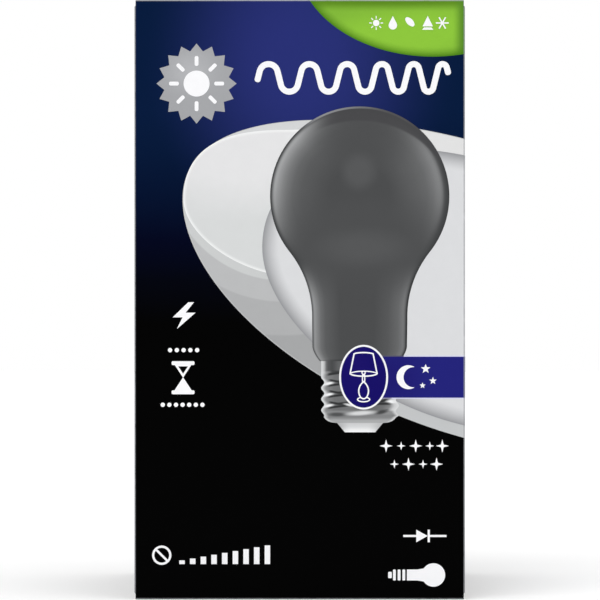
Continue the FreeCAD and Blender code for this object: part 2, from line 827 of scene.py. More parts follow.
@dataclass(frozen=True)
class Rim:
    """The colour that a field turns to towards its edge, over a border of even width."""

    colour: Colour
    width: float
    power: float

    def mask(self, surface: Surface) -> Socket:
        """Give the rim's share at each point, which grows to 1 at the edge."""
        inward = surface.node("ShaderNodeAttribute", attribute_name="inward").outputs["Fac"]
        return surface.math("POWER", surface.math("SUBTRACT", 1.0, inward, clamp=True), self.power)


@dataclass(frozen=True)
class Print(ABC):
    """A printed finish with soft tints, worn to the board's grey along the folds; this grey line also
    paints the light and shade of the rounded fold crowns.
    """

    name: str
    tints: tuple[Tint, ...] = ()
    rim: Rim | None = None
    on_board: bool = False
    roughness: float = 0.42
    shine: float = 0.03
    gloss_spread: float = 0.10
    relief: float = 0.06
    # Grey line along the folds: worn ink, and also a painted highlight on dark ink and painted shade
    # on pale ink at the rounded crease.
    fold_wear_and_light_colour: Colour = (150, 152, 156)
    fold_wear_and_light_width: float = 0.28
    fold_wear_and_light_strength: float = 0.8
    rub_roughness: float = 0.3

    @abstractmethod
    def paint(self, surface: Surface) -> Feed:
        """Give the colour beneath the tints."""

    def material(self, sheet: Sheet) -> bpy.types.Material:
        """Build the print's material.

        Args:
            sheet: The folded board.

        Returns:
            The material.
        """
        surface = Surface(self.name)
        if not self.on_board:
            surface.unfold()
        colour = self.paint(surface)
        for layer in (*self.tints, *([self.rim] if self.rim else [])):
            colour = surface.mix(layer.mask(surface), colour, linear(layer.colour))
        sockets = {
            "Place": surface.solid,
            "Gloss Spread": self.gloss_spread,
            "Roughness": self.roughness,
        }
        height, rough, mottle = surface.effect(Effect.FILM, sockets)
        colour = surface.mix(1.0, colour, mottle, "MULTIPLY")
        sockets = {
            "Place": surface.solid,
            "Middle": sheet.middle / MM,
            "Half Sizes": sheet.half_sizes / MM,
            "Width": self.fold_wear_and_light_width,
        }
        line = surface.effect(Effect.FOLD_LINE, sockets)["Mask"]
        # Grey line along the fold crowns: worn ink, and also a painted highlight on dark ink and
        # painted shade on pale ink at the rounded crease.
        fold_wear_and_light = surface.product(line, self.fold_wear_and_light_strength)
        roughened = surface.product(fold_wear_and_light, self.rub_roughness)
        sockets = {
            "Base Color": surface.mix(fold_wear_and_light, colour, linear(self.fold_wear_and_light_colour)),
            "Roughness": surface.math("ADD", rough, roughened),
            "Normal": surface.relief(height, 1.0, self.relief * MM),
            "Specular IOR Level": self.shine,
        }
        return surface.finished(sockets)


@dataclass(frozen=True, kw_only=True)
class Ink(Print):
    """One plain colour."""

    colour: Colour

    def paint(self, surface: Surface) -> Feed:
        """Give the one colour."""
        return linear(self.colour)


@dataclass(frozen=True, kw_only=True)
class BoardPrint(Print):
    """The board's own print: black that turns to deep blue with the height."""

    on_board: bool = True
    heights: tuple[tuple[float, Colour], ...] = (
        (53.0, (0, 0, 0)),
        (61.4, (0, 2, 13)),
        (69.1, (0, 4, 30)),
        (76.8, (1, 15, 45)),
        (86.0, (3, 23, 56)),
        (94.0, (4, 26, 61)),
    )

    def paint(self, surface: Surface) -> Feed:
        """Give the colour of each height."""
        return surface.ramp(surface.parts(surface.place)["Z"], self.heights)


@dataclass(frozen=True, kw_only=True)
class GlassPrint(Print):
    """The printed bulb's smoked glass: shaded outwards on the head and across on the neck."""

    head_middle: Place
    head_radius: float
    cap_drop: float = 4.6
    cap_radius: float = 19.4
    cap_colour: Colour = (73, 73, 75)
    lip_colour: Colour = (139, 140, 143)
    plain: Levels = ((0.0, 79), (0.86, 80), (0.93, 76), (0.965, 69), (0.985, 66), (1.0, 60))
    left_light: Levels = (
        (0.34, 77), (0.50, 84), (0.65, 91), (0.75, 102), (0.82, 118), (0.87, 134),
        (0.92, 153), (0.945, 164), (0.96, 158), (0.98, 104), (0.99, 72), (1.0, 58),
    )
    right_light: Levels = (
        (0.34, 77), (0.50, 88), (0.65, 97), (0.75, 105), (0.82, 117), (0.87, 129),
        (0.90, 131), (0.92, 121), (0.945, 88), (0.96, 76), (0.98, 68), (1.0, 58),
    )
    neck: Levels = (
        (-1.0, 66), (-0.98, 104), (-0.95, 150), (-0.90, 135), (-0.82, 110), (-0.72, 93),
        (-0.58, 86), (-0.40, 77), (0.30, 77), (0.60, 88), (0.80, 103), (0.91, 119),
        (0.945, 104), (0.97, 62), (1.0, 52),
    )

    def _head(self, surface: Surface, across: Socket, up: Socket, share: Socket) -> Socket:
        """Lay the head's two highlights, which follow its round edge, its cap and its lip.

        Args:
            surface: The surface that is painted.
            across: Place right of the head's middle, as a share of its radius.
            up: Place above the head's middle, as a share of its radius.
            share: Place across as a share of the half width at that height.

        Returns:
            The colour.
        """
        between = surface.between
        squares = surface.math("MULTIPLY_ADD", up, up, surface.product(across, across))
        outward = surface.math("SQRT", squares)
        slope = surface.math("DIVIDE", up, surface.math("MAXIMUM", outward, 0.2))
        upper = between(up, -0.05, 0.05, 0.0, 1.0)
        edge = surface.blend(upper, surface.math("ABSOLUTE", share), outward)
        plain = surface.levels(edge, self.plain)
        left_share = surface.product(
            between(slope, -0.72, 0.2, 0.0, 1.0), between(slope, 0.64, 1.04, 1.0, 0.0)
        )
        right_share = surface.product(
            between(slope, -0.70, 0.27, 0.0, 1.0), between(slope, 0.46, 1.02, 1.0, 0.0)
        )
        left = surface.mix(left_share, plain, surface.levels(outward, self.left_light))
        right = surface.mix(right_share, plain, surface.levels(outward, self.right_light))
        colour = surface.mix(between(across, -0.3, 0.3, 0.0, 1.0), left, right)
        cap = Tint(
            self.cap_colour,
            (self.head_middle[0], self.head_middle[1] - self.cap_drop),
            (self.cap_radius, self.cap_radius),
            core=0.97,
            outside=True,
        )
        capped = surface.product(
            cap.mask(surface),
            between(across, -0.56, -0.22, 0.0, 0.9),
            between(up, 0.2, 0.5, 0.0, 1.0),
        )
        colour = surface.mix(capped, colour, linear(cap.colour))
        lip = surface.product(
            between(outward, 0.972, 0.984, 0.0, 1.0),
            between(slope, 0.72, 0.90, 0.0, 1.0),
            between(across, -0.4, 0.4, 1.0, 0.1),
        )
        return surface.mix(lip, colour, linear(self.lip_colour))

    def paint(self, surface: Surface) -> Feed:
        """Shade the head and the neck.

        Args:
            surface: The surface that is painted.

        Returns:
            The colour.
        """
        share = surface.math("MULTIPLY_ADD", surface.across(), 2.0, -1.0)
        middle = (self.head_middle[0], 0.0, self.head_middle[1])
        offset = surface.vector("SUBTRACT", {0: surface.place, 1: middle})
        local = surface.vector("SCALE", {0: offset, "Scale": 1 / self.head_radius})
        across, _, up = surface.parts(local)
        head = self._head(surface, across, up, share)
        neck = surface.levels(share, self.neck)
        return surface.mix(surface.between(up, -1.22, -0.70, 1.0, 0.0), head, neck)


@dataclass(frozen=True, kw_only=True)
class MetalPrint(Print):
    """The printed bulb's screw base: bright rims, a dull middle and slanted thread grooves."""

    pitch: float
    groove: float = 42.95
    slant: float = 0.5
    thread_top: float = 43.5
    thread_foot: float = 36.3
    foot_top: float = 36.0
    tip_top: float = 33.9
    light: Colour = grey(244)
    dark: Colour = grey(42)
    rim_light: Colour = grey(222)
    body: Levels = (
        (0.0, 200), (0.012, 200), (0.038, 154), (0.064, 137), (0.09, 131), (0.14, 122), (0.17, 114),
        (0.22, 112), (0.36, 117), (0.62, 104), (0.80, 112), (0.88, 136), (0.94, 202), (1.0, 196),
    )
    collar: Levels = (
        (0.0, 190), (0.012, 195), (0.038, 171), (0.064, 113), (0.09, 87), (0.14, 75), (0.17, 82),
        (0.22, 98), (0.30, 106), (0.60, 96), (0.85, 84), (0.93, 122), (0.97, 196), (1.0, 190),
    )
    foot: Levels = (
        (32.1, 250), (32.5, 242), (33.2, 218), (33.85, 206), (34.0, 170), (34.3, 177),
        (34.6, 158), (34.9, 136), (35.3, 131), (35.8, 146), (36.9, 128),
    )

    @staticmethod
    def _line(surface: Surface, phase: Socket, limit: float) -> Socket:
        """Return a mask of soft lines, one for each turn, where the phase is whole."""
        wave = surface.math("COSINE", surface.product(phase, 2 * math.pi))
        return surface.between(wave, limit, 1.0, 0.0, 1.0)

    def paint(self, surface: Surface) -> Feed:
        """Lay the shading across, the thread's grooves, and the foot beneath them.

        Args:
            surface: The surface that is painted.

        Returns:
            The colour.
        """
        between = surface.between
        across = surface.across()
        height = surface.parts(surface.place)["Z"]
        top = self.thread_top
        body = surface.levels(across, self.body)
        collar = surface.levels(across, self.collar)
        colour = surface.mix(between(height, top - 0.2, top + 0.2, 0.0, 1.0), body, collar)
        turns = surface.math("DIVIDE", surface.math("SUBTRACT", height, self.groove), self.pitch)
        from_right = surface.math("POWER", surface.math("SUBTRACT", 1.0, across, clamp=True), 3.0)
        climb = surface.math("MULTIPLY_ADD", from_right, -self.slant, self.slant)
        phase = surface.math("SUBTRACT", turns, climb)
        spread = surface.math(
            "ADD", between(across, 0.09, 0.22, 0.45, 0.22), between(across, 0.80, 0.88, 0.0, 0.15)
        )
        second_phase = surface.math("SUBTRACT", phase, spread)
        first, second = (self._line(surface, which, 0.5) for which in (phase, second_phase))
        crest = self._line(surface, surface.math("MULTIPLY_ADD", spread, -0.5, phase), 0.35)
        thread = surface.product(
            between(height, self.thread_foot, self.thread_foot + 0.3, 0.0, 1.0),
            between(height, top + 0.2, top + 0.6, 1.0, 0.0),
        )
        inside = surface.product(
            between(across, 0.06, 0.11, 0.0, 0.92), between(across, 0.85, 0.93, 1.0, 0.0)
        )
        sides = surface.math(
            "MAXIMUM", between(across, 0.08, 0.15, 1.0, 0.0), between(across, 0.83, 0.92, 0.0, 1.0)
        )
        top_fade = between(height, top - 1.0, top - 0.1, 1.0, 0.15)
        lit = surface.product(crest, sides, thread, top_fade)
        shaded = surface.product(surface.math("MAXIMUM", first, second), inside, thread)
        colour = surface.mix(lit, colour, linear(self.light))
        colour = surface.mix(shaded, colour, linear(self.dark))
        low = between(height, self.foot_top, self.foot_top + 0.5, 1.0, 0.0)
        colour = surface.mix(low, colour, surface.levels(height, self.foot))
        rims = surface.math(
            "MAXIMUM", between(across, 0.0, 0.07, 0.8, 0.0), between(across, 0.93, 0.99, 0.0, 0.8)
        )
        above_tip = between(height, self.tip_top, self.tip_top + 0.3, 0.3, 1.0)
        return surface.mix(surface.product(rims, above_tip), colour, linear(self.rim_light))


@dataclass(frozen=True)
class RawBoard:
    """Cut edges and undersides of the board: unprinted grey-brown fibre."""

    name: str = "raw_board"
    colour: Colour = (176, 168, 154)
    dark_fibre: Colour = (138, 128, 112)
    grain: tuple[float, float, float] = (0.6, 0.6, 5.2)
    roughness: float = 0.83
    relief: float = 0.04

    def material(self) -> bpy.types.Material:
        """Build the material.

        Returns:
            The material.
        """
        surface = Surface(self.name)
        stretched = surface.vector("MULTIPLY", {0: surface.solid, 1: self.grain})
        fibre = surface.noise(stretched, 1.0, 6.0, 0.65)
        share = surface.between(fibre, 0.35, 0.7, 0.0, 1.0)
        sockets = {
            "Base Color": surface.mix(share, linear(self.colour), linear(self.dark_fibre)),
            "Roughness": surface.math("MULTIPLY_ADD", fibre, 0.1, self.roughness),
            "Normal": surface.relief(fibre, 0.6, self.relief * MM),
        }
        return surface.finished(sockets)


def finish(piece: Piece, material: bpy.types.Material, slot: Slot) -> Piece:
    """Give a piece its material and its body, and report it with its slot.

    Args:
        piece: The piece, in its place.
        material: The material that it wears first.
        slot: The record's slot that it belongs to.

    Returns:
        The piece.
    """
    piece.data.materials.clear()
    piece.data.materials.append(material)
    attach(piece, "root")
    LOG.info("%s: %d faces, %s", piece.name, len(piece.data.polygons), slot.value)
    return piece


@dataclass(frozen=True)
class Press:
    """Presses drawings on the folded sheet as thin plates of ink."""

    sheet: Sheet
    foot: float = 0.01
    creases: int = 6
    smooth_angle: float = 30.0

    def _crease(self, piece: Piece, fold: Fold) -> None:
        """Cut a flat piece across where it goes round a fold.

        Args:
            piece: The flat piece.
            fold: The fold.
        """
        sheet = self.sheet
        way = Vector((1, 0, 0)) if fold is Fold.RIGHT else Vector((0, 0, 1))
        start = sheet.high.dot(way) - sheet.fold
        with editing(piece):
            for cut in range(self.creases + 1):
                bisect(way * (start + sheet.fold_arc * cut / self.creases), way)

    def press(
        self, drawing: Drawing, layer: Layer, ink: Print, slot: Slot, folds: Sequence[Fold] = ()
    ) -> Piece:
        """Make a drawing a closed plate of ink on the carton.

        Each point keeps its place on the unfolded sheet in the attribute flat, for the ink.

        Args:
            drawing: The flat outlines.
            layer: How far it stands proud.
            ink: Its finish.
            slot: The record's slot that it belongs to.
            folds: The folds that it runs round.

        Returns:
            The piece.
        """
        piece = drawing.joined()
        for fold in folds:
            self._crease(piece, fold)
        with editing(piece):
            bpy.ops.transform.translate(value=(0, self.foot * MM, 0))
            rise = -(self.foot + layer.value) * MM
            bpy.ops.mesh.extrude_region_move(TRANSFORM_OT_translate={"value": (0, rise, 0)})
        flat = piece.data.attributes.new("flat", "FLOAT_VECTOR", "POINT")
        for vertex, value in zip(piece.data.vertices, flat.data):
            value.vector = (vertex.co.x / MM, 0.0, vertex.co.z / MM)
            vertex.co = self.sheet.carried(vertex.co)
        with editing(piece):
            bpy.ops.mesh.normals_make_consistent(inside=False)
        if folds:
            bpy.ops.object.shade_smooth_by_angle(angle=math.radians(self.smooth_angle))
        return finish(piece, ink.material(self.sheet), slot)


@dataclass
class CartonBoard:
    """The folded board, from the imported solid, with its print and its cut edges."""

    sheet: Sheet
    smooth_angle: float = 24.0
    flat_angle: float = 0.5
    merge_gap: float = 2e-6
    ply_slack: float = 0.1 * MM
    upright_limit: float = 0.05
    facing_limit: float = 0.5
    straight_limit: float = 0.999
    seam_reach: tuple[float, float] = (0.05 * MM, 0.5 * MM)
    seam_depth: float = 0.2 * MM
    glow_colour: Colour = (40, 48, 117)
    glow_middle: tuple[float, float, float] = (0.1, -31.75, 104.5)
    glow_reach: tuple[float, float, float] = (31.0, 42.0, 38.0)
    raw_finish: RawBoard = RawBoard()

    def print_finish(self) -> BoardPrint:
        """Choose the print, with its indigo glow round the top of the front panel.

        Returns:
            The finish.
        """
        x, y, z = self.glow_middle
        across, deep, up = self.glow_reach
        glow = Tint(
            self.glow_colour, (x, z), (across, up), core=0.12, deep_middle=y, deep_reach=deep
        )
        return BoardPrint("board_print", (glow,))

    def is_raw(self, face: bpy.types.MeshPolygon, points: Sequence[Vector]) -> bool:
        """Tell whether a face is a cut edge or an underside of the board.

        Args:
            face: The face.
            points: Its corners.

        Returns:
            True if it carries no print.
        """
        sheet = self.sheet
        two_plies = 2 * sheet.thickness + self.ply_slack
        upper = min(point.z for point in points) > sheet.high.z - two_plies
        lower = max(point.z for point in points) < sheet.low.z + two_plies
        rise = face.normal.z
        if abs(rise) < self.upright_limit and (upper or lower):
            return True
        if (rise < -self.facing_limit and upper) or (rise > self.facing_limit and lower):
            return True
        straight = max(abs(part) for part in face.normal) > self.straight_limit
        near, far = self.seam_reach
        at_seam = near < face.center.x - sheet.low.x < far
        depth = sheet.thickness + self.seam_depth
        return straight and at_seam and face.center.y > sheet.high.y - depth

    def build(self) -> Piece:
        """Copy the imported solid, merge it, shade it and dress it.

        Returns:
            The piece.
        """
        only(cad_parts["carton"])
        bpy.ops.object.duplicate()
        board = bpy.context.object
        board.name = "carton_board"
        board.parent = None
        for key in list(board.keys()):
            del board[key]
        with editing(board):
            bpy.ops.mesh.remove_doubles(threshold=self.merge_gap)
            bpy.ops.mesh.dissolve_limited(angle_limit=math.radians(self.flat_angle))
        bpy.ops.object.shade_smooth_by_angle(angle=math.radians(self.smooth_angle))
        weighted = board.modifiers.new("even_shading", "WEIGHTED_NORMAL")
        weighted.keep_sharp = True
        bpy.ops.object.modifier_apply(modifier=weighted.name)
        finish(board, self.print_finish().material(self.sheet), Slot.BOARD)
        board.data.materials.append(self.raw_finish.material())
        for face in board.data.polygons:
            points = [board.data.vertices[index].co for index in face.vertices]
            face.material_index = int(self.is_raw(face, points))
        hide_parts("carton")
        return board


@dataclass
class CornerField:
    """The green field in the top right corner, which runs on to the top flap and the right panel."""

    press: Press
    middle: Place = (25.54, 123.0)
    radii: Place = (26.06, 18.72)
    corners: int = 128
    notch: Place = (31.5, 113.7)
    ink: Ink = Ink(
        "corner_green",
        (
            Tint((142, 199, 61), (20.0, 108.6), (24.0, 6.5), -6.0, core=0.35),
            Tint((92, 138, 32), (16.0, 115.2), (60.0, 2.4), core=0.15),
            Tint((88, 138, 42), (32.6, 108.0), (3.4, 40.0), core=0.3),
        ),
        Rim((74, 128, 22), 1.9, 1.5),
        colour=(130, 184, 58),
    )

    def build(self) -> Piece:
        """Draw and press the field.

        Returns:
            The piece.
        """
        drawing = Drawing("corner_field").disc(self.middle, self.radii, self.corners)
        drawing.rimmed(self.ink.rim.width).notch(self.notch)
        return self.press.press(drawing, Layer.FIELD, self.ink, Slot.GREEN, (Fold.RIGHT, Fold.TOP))


@dataclass
class PaleSweep:
    """Three pale fields behind the bulb: a wide sweep, a shell at its left and an inner field."""

    press: Press
    points: int = 48
    step_middle: Place = (-3.0, 84.0)
    step_core: float = 0.985
    steps: tuple[tuple[float, int], ...] = ((22.9, 189), (27.0, 178), (33.5, 168))
    sweep_ink: Ink = Ink(
        "sweep_pale",
        (
            Tint((196, 198, 199), (31.0, 36.0), (21.0, 15.0), core=0.55),
            Tint((213, 214, 215), (20.0, 91.0), (60.0, 15.0), 4.0, core=0.85),
            Tint((226, 226, 226), (33.0, 90.0), (26.0, 12.0), core=0.4),
        ),
        Rim((198, 199, 199), 0.3, 1.5),
        colour=(204, 206, 206),
    )
    shell_ink: Ink = Ink(
        "shell_pale",
        (Tint((229, 229, 230), (-8.0, 89.0), (34.0, 18.0), core=0.4),),
        Rim((246, 247, 247), 0.62, 1.0),
        colour=(216, 218, 218),
    )
    inner_ink: Ink = Ink("inner_pale", (), Rim((152, 153, 156), 3.2, 1.25), colour=(220, 221, 223))
    sweep_start: Place = (30.9, 88.7)
    sweep: tuple[Bend, ...] = (
        ((6.88, 94.58), (-22.5, 94.34), (-22.5, 76.9)),
        ((-22.5, 60.45), (0.56, 39.72), (30.87, 31.25)),
        ((47.9, 26.4), (88.4, 24.0), (88.4, 40.5)),
        ((88.4, 57.5), (58.0, 82.1), (30.9, 88.7)),
    )
    shell_start: Place = (0.22, 90.31)
    shell: tuple[Bend, ...] = (
        ((-3.73, 89.84), (-22.34, 92.24), (-22.34, 76.92)),
        ((-22.34, 71.11), (-14.64, 64.56), (-5.57, 62.59)),
        ((-1.5, 62.6), (0.22, 66.0), (0.22, 72.0)),
    )
    inner_start: Place = (31.06, 85.44)
    inner: tuple[Bend, ...] = (
        ((10.07, 89.49), (-7.19, 82.95), (-7.19, 67.66)),
        ((-7.19, 54.8), (10.37, 38.69), (30.88, 33.62)),
        ((46.0, 29.9), (71.5, 33.0), (71.5, 50.0)),
        ((71.5, 67.0), (50.0, 81.8), (31.06, 85.44)),
    )

    def _field(
        self, name: str, outline: list[Place], layer: Layer, ink: Ink, folds: Sequence[Fold] = ()
    ) -> Piece:
        """Draw and press one field.

        Args:
            name: Its name.
            outline: Its corners in order.
            layer: How far it stands proud.
            ink: Its finish, with a rim.
            folds: The folds that it runs round.

        Returns:
            The piece.
        """
        drawing = Drawing(name).polygon(outline).rimmed(ink.rim.width)
        return self.press.press(drawing, layer, ink, Slot.PALE, folds)

    def build(self) -> list[Piece]:
        """Make the sweep, greyer in steps below, the light shell and the darker-edged inner field.

        Returns:
            The pieces.
        """
        middle = self.step_middle
        steps = [
            Tint(grey(level), middle, (radius, radius), core=self.step_core, outside=True)
            for radius, level in self.steps
        ]
        sweep_ink = replace(self.sweep_ink, tints=(*steps, *self.sweep_ink.tints))
        sweep = curve(self.sweep_start, self.sweep, self.points)
        shell = curve(self.shell_start, self.shell, self.points)
        inner = curve(self.inner_start, self.inner, self.points)
        return [
            self._field("pale_sweep", sweep, Layer.FIELD, sweep_ink, (Fold.RIGHT,)),
            self._field("pale_shell", shell, Layer.SHELL, self.shell_ink),
            self._field("pale_inner", inner, Layer.INNER, self.inner_ink, (Fold.RIGHT,)),
        ]


@dataclass
class BulbPicture:
    """The printed bulb: a smoked glass head and neck on a screw base."""

    press: Press
    middle: float = 11.54
    head_height: float = 77.5
    head_radius: float = 17.22
    neck: float = 9.15
    neck_flare: float = 0.08
    flare_height: float = 5.0
    neck_top: float = 66.0
    shoulder_radius: float = 20.0
    foot: float = 45.79
    foot_corner: float = 2.82
    foot_inset: float = 1.42
    foot_power: float = 1.65
    crown_half: float = 0.0005
    corner_rows: int = 8
    neck_rows: int = 24
    head_rows: int = 37
    glass_columns: int = 32
    base_columns: int = 24
    tip_columns: int = 12
    row_gap: float = 0.2
    base_middle: float = 11.6
    base_half: float = 7.48
    thread_top: float = 42.75
    thread_foot: float = 35.3
    thread_depth: float = 0.3
    thread_lead: float = 0.42
    thread_rows: int = 54
    rim_height: float = 0.9
    pitch: float = 2.13
    collar: tuple[Place, ...] = ((4.45, 33.9), (5.4, 34.0), (6.1, 34.25), (6.6, 34.6), (6.95, 35.0))
    tip: tuple[Place, ...] = ((2.92, 32.12), (4.4, 33.9))
    glass_tints: tuple[Tint, ...] = (
        Tint(grey(91), (11.4, 82.2), (4.2, 4.6), core=0.35, strength=0.75),
        Tint(grey(89), (12.1, 67.6), (12.0, 4.8), core=0.2, strength=0.8),
        Tint(grey(64), (11.6, 45.85), (9.0, 0.5), core=0.4, strength=0.85),
    )
    base_tints: tuple[Tint, ...] = (
        Tint(grey(74), (7.2, 35.55), (2.6, 0.62), core=0.25, strength=0.9),
        Tint(grey(60), (15.7, 36.0), (1.9, 0.6), -12.0, core=0.25, strength=0.9),
        Tint(grey(219), (11.75, 35.8), (3.8, 0.62), -4.0, core=0.25),
        Tint(grey(226), (9.6, 37.35), (1.6, 0.35), 12.0, core=0.2),
        Tint(grey(160), (7.0, 33.2), (3.0, 1.9), core=0.1, strength=0.65),
        Tint(grey(168), (16.4, 32.9), (3.6, 2.1), core=0.1, strength=0.75),
    )

    def half_width(self, height: float) -> float:
        """Work out the glass's half width at a height.

        Args:
            height: Height above the carton's base.

        Returns:
            The half width.
        """
        reach = self.head_radius + self.shoulder_radius
        side = self.neck + self.shoulder_radius
        drop = math.sqrt(reach**2 - side**2)
        if height > self.head_height - self.head_radius * drop / reach:
            return math.sqrt(max(0.0, self.head_radius**2 - (height - self.head_height) ** 2))
        above_neck = height - (self.head_height - drop)
        if above_neck > 0:
            return side - math.sqrt(self.shoulder_radius**2 - above_neck**2)
        above_corner = height - self.foot - self.foot_corner
        if above_corner < 0:
            inset = self.foot_inset * (-above_corner / self.foot_corner) ** self.foot_power
            return self.neck - self.neck_flare - inset
        return self.neck - self.neck_flare * max(0.0, 1 - above_corner / self.flare_height)

    @staticmethod
    def _row(middle: float, half_width: float, height: float) -> Row:
        """Return a row of an outline that is even on both sides of a middle."""
        return middle - half_width, middle + half_width, height

    def _glass(self) -> Piece:
        """Make the head and neck.

        Returns:
            The piece.
        """
        low = self.foot + self.foot_corner
        rows = self.corner_rows
        heights = [self.foot + self.foot_corner * row / rows for row in range(rows)]
        rows = self.neck_rows
        heights += [low + (self.neck_top - low) * row / rows for row in range(rows + 1)]
        head = arc((0.0, self.head_height), (self.head_radius,) * 2, -40, 90, self.head_rows)
        heights += [height for _, height in head if height > self.neck_top + self.row_gap]
        outline = [self._row(self.middle, self.half_width(height), height) for height in heights]
        outline[-1] = self._row(self.middle, self.crown_half, heights[-1])
        ink = GlassPrint(
            "glass_grey",
            self.glass_tints,
            head_middle=(self.middle, self.head_height),
            head_radius=self.head_radius,
        )
        drawing = Drawing("bulb_glass").rows(outline, self.glass_columns)
        return self.press.press(drawing, Layer.PICTURE, ink, Slot.GREY)

    def _dent(self, height: float, lead: float) -> float:
        """Return how deep the thread lies at a height, on the side with a lead in turns."""
        turns = (self.thread_top - height) / self.pitch + lead
        return self.thread_depth * (1 - math.cos(2 * math.pi * turns))

    def _base(self) -> Piece:
        """Make the collar, the thread and the tip of the screw base.

        Returns:
            The piece.
        """
        middle = self.base_middle
        outline = [self._row(middle, *row) for row in self.collar]
        for step in range(self.thread_rows + 1):
            rise = (self.thread_top - self.thread_foot) * step / self.thread_rows
            height = self.thread_foot + rise
            left = middle - self.base_half + self._dent(height, 0.0)
            right = middle + self.base_half - self._dent(height, self.thread_lead)
            outline.append((left, right, height))
        for height in (self.thread_top + self.rim_height, self.foot + self.row_gap):
            outline.append(self._row(middle, self.base_half, height))
        ink = MetalPrint("screw_base_grey", self.base_tints, pitch=self.pitch)
        drawing = Drawing("bulb_screw_base").rows(outline, self.base_columns)
        drawing.rows([self._row(middle, *row) for row in self.tip], self.tip_columns)
        return self.press.press(drawing, Layer.METAL, ink, Slot.GREY)

    def build(self) -> list[Piece]:
        """Draw and press the glass and the base."""
        return [self._glass(), self._base()]


@dataclass
class LightBand:
    """The blue band with its pale edge lines, and the oval badge with a table lamp on it."""

    press: Press
    badge_middle: Place = (12.28, 42.70)
    badge_radii: Place = (4.70, 6.21)
    badge_corners: int = 96
    badge_edge: float = 0.36
    band_foot: float = 38.76
    band_top: float = 46.64
    band_line: float = 0.2
    edge_ink: Ink = Ink(
        "band_edge_white",
        (
            Tint((88, 86, 112), (15.4, 46.9), (4.75, 1.2), core=0.96),
            Tint((150, 146, 168), (16.2, 38.6), (1.7, 0.8), core=0.7),
        ),
        colour=(216, 216, 242),
    )
    band_ink: Ink = Ink(
        "band_blue", (Tint((30, 26, 111), (17.5, 42.7), (9.0, 9.0)),), colour=(35, 35, 122)
    )
    badge_ink: Ink = Ink(
        "badge_blue", (Tint((26, 17, 104), (11.0, 45.0), (4.0, 5.0)),), colour=(22, 14, 102)
    )
    white_ink: Ink = Ink("badge_white", colour=(250, 250, 252))
    line_width: float = 0.27
    socket_line: float = 0.22
    shade_top: tuple[Place, Place] = ((0.0, 4.42), (2.1, 0.45))
    shade_foot: tuple[Place, Place] = ((0.0, 0.68), (2.73, 0.62))
    opening: tuple[Place, Place] = ((0.0, 0.68), (2.68, 0.58))
    socket: tuple[Place, Place] = ((0.0, 0.85), (0.42, 0.42))
    stem: tuple[Place, Place] = ((0.0, -0.2), (0.66, 1.4))
    foot: tuple[Place, Place] = ((0.0, -4.28), (1.3, 0.56))
    vase_top: Place = (0.0, -0.75)
    vase: tuple[Bend, ...] = (
        ((-0.5, -1.0), (-1.07, -1.75), (-1.07, -2.6)),
        ((-1.07, -3.4), (-0.72, -4.28), (0.0, -4.28)),
    )

    def _lamp(self) -> Drawing:
        """Draw a table lamp in lines: shade with its round opening, stem, vase and foot.

        Returns:
            The drawing.
        """
        width = self.line_width
        lamp = Drawing("badge_lamp", self.badge_middle)
        lamp.polygon(arc(*self.shade_top, 22, 158, 10) + arc(*self.shade_foot, 180, 360, 20))
        lamp.hollow(width)
        lamp.polygon(arc(*self.opening, 0, 342, 28)).hollow(0.8 * width)
        lamp.disc(*self.socket, corners=20).hollow(self.socket_line)
        lamp.bar(*self.stem).hollow(self.socket_line)
        left = curve(self.vase_top, self.vase, 8)
        right = [(-x, z) for x, z in reversed(left[1:])]
        lamp.polygon([*left, self.vase[-1][-1], *right]).hollow(width)
        middle, (across, up) = self.foot
        inner = arc(middle, (across - width, up - 0.9 * width), 420, 120, 24)
        return lamp.polygon(arc(middle, (across, up), 120, 420, 24) + inner)

    def build(self) -> list[Piece]:
        """Draw and press the band and the badge.

        Returns:
            The pieces.
        """
        sheet = self.press.sheet
        left = self.badge_middle[0]
        depth = sheet.high.y - sheet.low.y
        right = (sheet.high.x + sheet.fold_arc + depth - 3 * sheet.fold) / MM
        middle = ((left + right) / 2, (self.band_foot + self.band_top) / 2)
        width = right - left
        height = self.band_top - self.band_foot
        radii = self.badge_radii
        inner = (radii[0] - self.badge_edge, radii[1] - self.badge_edge)
        corners = self.badge_corners
        edge_line = Drawing("band_edge").bar(middle, (width, height + 2 * self.band_line))
        band = Drawing("band_field").bar(middle, (width, height))
        badge_rim = Drawing("badge_edge", self.badge_middle).disc((0, 0), radii, corners)
        badge = Drawing("badge_field", self.badge_middle).disc((0, 0), inner, corners)
        plates = (
            (edge_line, Layer.BAND_EDGE, self.edge_ink, Slot.WHITE, (Fold.RIGHT,)),
            (band, Layer.BAND, self.band_ink, Slot.BLUE, (Fold.RIGHT,)),
            (badge_rim, Layer.BADGE_EDGE, self.white_ink, Slot.WHITE),
            (badge, Layer.BADGE, self.badge_ink, Slot.BLUE),
            (self._lamp(), Layer.SIGN, self.white_ink, Slot.WHITE),
        )
        return [self.press.press(*plate) for plate in plates]


